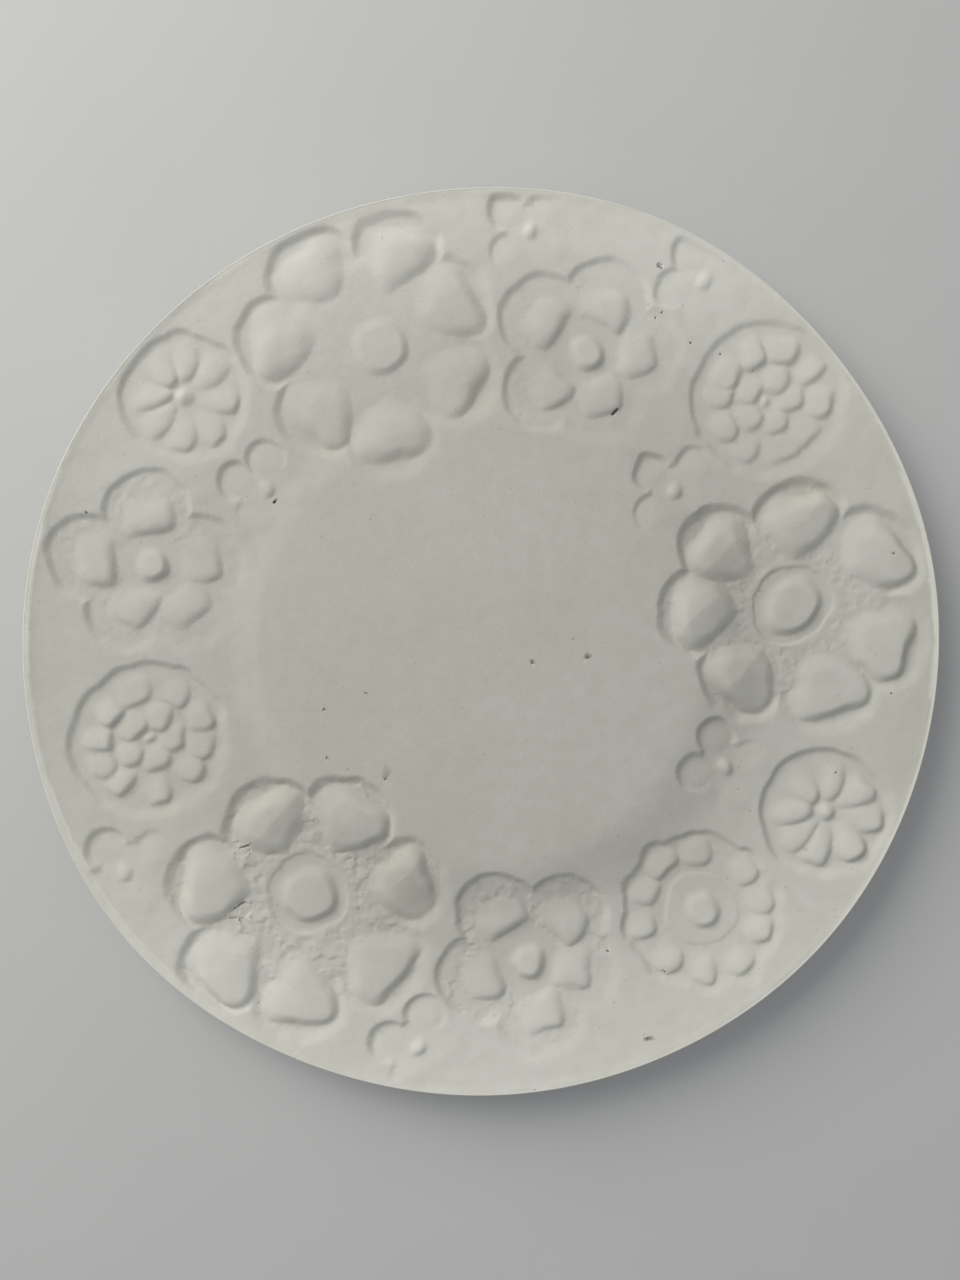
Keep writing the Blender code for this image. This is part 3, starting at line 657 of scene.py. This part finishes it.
class Nodes:
    """Short calls for building a material's node tree."""

    def __init__(self, material):
        material.use_nodes = True
        self.tree = material.node_tree
        self.shader = self.tree.nodes["Principled BSDF"]
        self.place = self.tree.nodes.new("ShaderNodeTexCoord").outputs["Object"]

    def link(self, value, socket):
        if isinstance(value, (int, float)):
            socket.default_value = value
        elif isinstance(value, tuple):
            socket.default_value = (*value, 1.0)
        else:
            self.tree.links.new(value, socket)

    def noise(self, length, detail=3.0, roughness=0.5):
        """Noise whose patches are about that many millimetres across."""
        node = self.tree.nodes.new("ShaderNodeTexNoise")
        node.inputs["Scale"].default_value = 1.0 / (length * MM)
        node.inputs["Detail"].default_value = detail
        node.inputs["Roughness"].default_value = roughness
        self.tree.links.new(self.place, node.inputs["Vector"])
        return node.outputs["Fac"]

    def cells(self, length):
        """Distance in cell sizes from the nearest of a scatter of points, and a random number per point."""
        node = self.tree.nodes.new("ShaderNodeTexVoronoi")
        node.inputs["Scale"].default_value = 1.0 / (length * MM)
        self.tree.links.new(self.place, node.inputs["Vector"])
        return node.outputs["Distance"], node.outputs["Color"]

    def span(self, value, low, high, to_low=0.0, to_high=1.0):
        node = self.tree.nodes.new("ShaderNodeMapRange")
        self.link(value, node.inputs["Value"])
        for name, number in zip(("From Min", "From Max", "To Min", "To Max"), (low, high, to_low, to_high)):
            node.inputs[name].default_value = number
        return node.outputs["Result"]

    def math(self, operation, a, b):
        node = self.tree.nodes.new("ShaderNodeMath")
        node.operation = operation
        self.link(a, node.inputs[0])
        self.link(b, node.inputs[1])
        return node.outputs[0]

    def mix(self, factor, a, b, mode="MIX"):
        node = self.tree.nodes.new("ShaderNodeMixRGB")
        node.blend_type = mode
        for value, socket in zip((factor, a, b), node.inputs):
            self.link(value, socket)
        return node.outputs[0]

    def marked(self, name):
        node = self.tree.nodes.new("ShaderNodeAttribute")
        node.attribute_name = name
        return node.outputs["Fac"]

    def bump(self, height, depth, under=None):
        """A bump whose full height is that many millimetres."""
        node = self.tree.nodes.new("ShaderNodeBump")
        node.inputs["Distance"].default_value = depth * MM
        self.tree.links.new(height, node.inputs["Height"])
        if under is not None:
            self.tree.links.new(under, node.inputs["Normal"])
        return node.outputs["Normal"]


# Colours of the bisque and the tones that its colour is multiplied by; some of these are painted shade, as
# marked below
WARM_CLAY = (0.759, 0.753, 0.678)
PALE_CLAY = (0.789, 0.787, 0.725)
MOTTLE_TONE = (0.955, 0.95, 0.93)
# Partly the clay's own darker tone and partly painted shade, in the middle
MIDDLE_TONE_AND_SHADE = (0.755, 0.745, 0.735)
# Painted shade towards the left and right edges
SIDES_SHADE = (0.76, 0.76, 0.75)
# Painted shade in the creases, patchy
CREASE_SHADE = (0.50, 0.47, 0.385)
WORN_CREST = (0.66, 0.645, 0.59)
SPECK_BROWN = (0.25, 0.21, 0.15)
# Painted shade inside the pits and chips
PIT_SHADE = (0.10, 0.085, 0.065)


def bisque_material():
    """Matte, unglazed off-white: clouded, with painted shade in the creases and pits, a middle that is
    partly darker in tone and partly painted shade, painted shade towards the left and right edges, and fine
    grain and pores.
    """
    material = bpy.data.materials.new("off_white_bisque_fine")
    n = Nodes(material)
    colour = n.mix(n.span(n.noise(38.0, 3.0), 0.35, 0.65), WARM_CLAY, PALE_CLAY)
    mottle = n.span(n.noise(5.0, 4.0), 0.3, 0.7)
    # The middle is darkened partly as its own tone and partly as painted shade; the left and right edges
    # get painted shade
    tones_and_shades = ((mottle, MOTTLE_TONE), (n.marked("middle"), MIDDLE_TONE_AND_SHADE), (n.marked("side_shade"), SIDES_SHADE))
    for share, tone in tones_and_shades:
        colour = n.mix(share, colour, n.mix(1.0, colour, tone, "MULTIPLY"))
    # Painted shade in the creases
    crease_shade = n.math("MULTIPLY", n.marked("crease"), n.span(n.noise(3.0, 4.0), 0.25, 0.7, 0.25, 0.75))
    colour = n.mix(n.math("MULTIPLY", crease_shade, 0.6), colour, CREASE_SHADE)
    colour = n.mix(n.math("MULTIPLY", n.marked("crest"), 0.25), colour, WORN_CREST)
    speck_distance, speck_pick = n.cells(7.0)
    speck = n.span(speck_distance, 0.035, 0.055, 1.0, 0.0)
    speck = n.math("MULTIPLY", speck, n.span(speck_pick, 0.68, 0.7))
    colour = n.mix(n.math("MULTIPLY", speck, 0.55), colour, SPECK_BROWN)
    # Painted shade inside the pits and chips
    colour = n.mix(n.marked("pit"), colour, PIT_SHADE)
    n.link(colour, n.shader.inputs["Base Color"])
    n.link(n.span(n.noise(9.0, 4.0), 0.3, 0.7, 0.70, 0.84), n.shader.inputs["Roughness"])
    n.shader.inputs["Specular IOR Level"].default_value = 0.35

    grain = n.bump(n.noise(0.7, 3.0, 0.6), 0.05)
    ripple = n.bump(n.noise(2.4, 4.0, 0.55), 0.10, grain)
    pore_distance, pore_pick = n.cells(2.2)
    pore = n.math("MULTIPLY", n.span(pore_distance, 0.06, 0.12, 1.0, 0.0), n.span(pore_pick, 0.72, 0.75))
    n.link(n.bump(n.math("SUBTRACT", 1.0, pore), 0.12, ripple), n.shader.inputs["Normal"])
    return material


def floor_material():
    material = bpy.data.materials.new("pale_floor")
    n = Nodes(material)
    n.link(n.mix(n.noise(60.0, 4.0), (0.60, 0.60, 0.59), (0.63, 0.63, 0.62)), n.shader.inputs["Base Color"])
    n.shader.inputs["Roughness"].default_value = 0.8
    return material


def build_plate():
    mesh = turned_mesh()
    for reach in REFINE_REACHES:
        refine_near_pits(mesh, reach)
    carve(mesh)
    plate = bpy.data.objects.new("plate_fine", mesh)
    bpy.context.scene.collection.objects.link(plate)
    lighten = plate.modifiers.new("lighten", "DECIMATE")
    lighten.ratio = KEPT_TRIANGLES / len(mesh.polygons)
    plate.data = evaluated_mesh(plate)
    for side in (-1, 1):
        drill_hang_hole(plate, 90.0 + side * HANG_HOLE_SPREAD / 2)
    mark_surface(plate.data)
    plate.data.polygons.foreach_set("use_smooth", [True] * len(plate.data.polygons))
    plate.data.materials.clear()
    plate.data.materials.append(bisque_material())
    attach(plate, "root")
    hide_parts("plate")
    return plate


def aim(obj, target):
    obj.rotation_euler = (Vector(target) - obj.location).to_track_quat("-Z", "Y").to_euler()


def soft_light(name, location, size, power, colour):
    lamp = bpy.data.lights.new(name, "AREA")
    lamp.size = size
    lamp.energy = power
    lamp.color = colour
    light = bpy.data.objects.new(name, lamp)
    light.location = location
    bpy.context.scene.collection.objects.link(light)
    aim(light, (0.0, 0.0, 0.0))


def build_stage():
    """A plain pale floor, a broad soft light from the upper left and an even, weaker fill."""
    bpy.ops.mesh.primitive_plane_add(size=6.0, location=(0.0, 0.0, 0.0))
    floor = bpy.context.object
    floor.name = "floor"
    floor.data.materials.append(floor_material())
    soft_light("key", location=(-0.78, 0.72, 0.72), size=0.90, power=13.0, colour=(1.0, 0.985, 0.94))
    soft_light("fill", location=(0.9, -0.7, 0.9), size=1.0, power=0.6, colour=(0.90, 0.96, 1.0))
    world = bpy.data.worlds.new("soft_room")
    world.use_nodes = True
    world.node_tree.nodes["Background"].inputs["Color"].default_value = (0.93, 0.95, 1.0, 1.0)
    world.node_tree.nodes["Background"].inputs["Strength"].default_value = 0.34
    bpy.context.scene.world = world


# Camera: almost straight above, at the nearness that the photograph's lens and framing give (metres)
CAMERA_PLACE = (-0.0003, 0.0005, 0.3200)
CAMERA_LENS = 26.0


def build_camera():
    data = bpy.data.cameras.new("camera")
    data.lens = CAMERA_LENS
    data.sensor_width = 36.0
    data.clip_start = 0.01
    camera = bpy.data.objects.new("camera", data)
    camera.location = CAMERA_PLACE
    camera.rotation_euler = (0.0, 0.0, 0.0)
    bpy.context.scene.collection.objects.link(camera)
    bpy.context.scene.camera = camera


bpy.context.scene.view_settings.view_transform = "Standard"
build_camera()
build_stage()
build_plate()
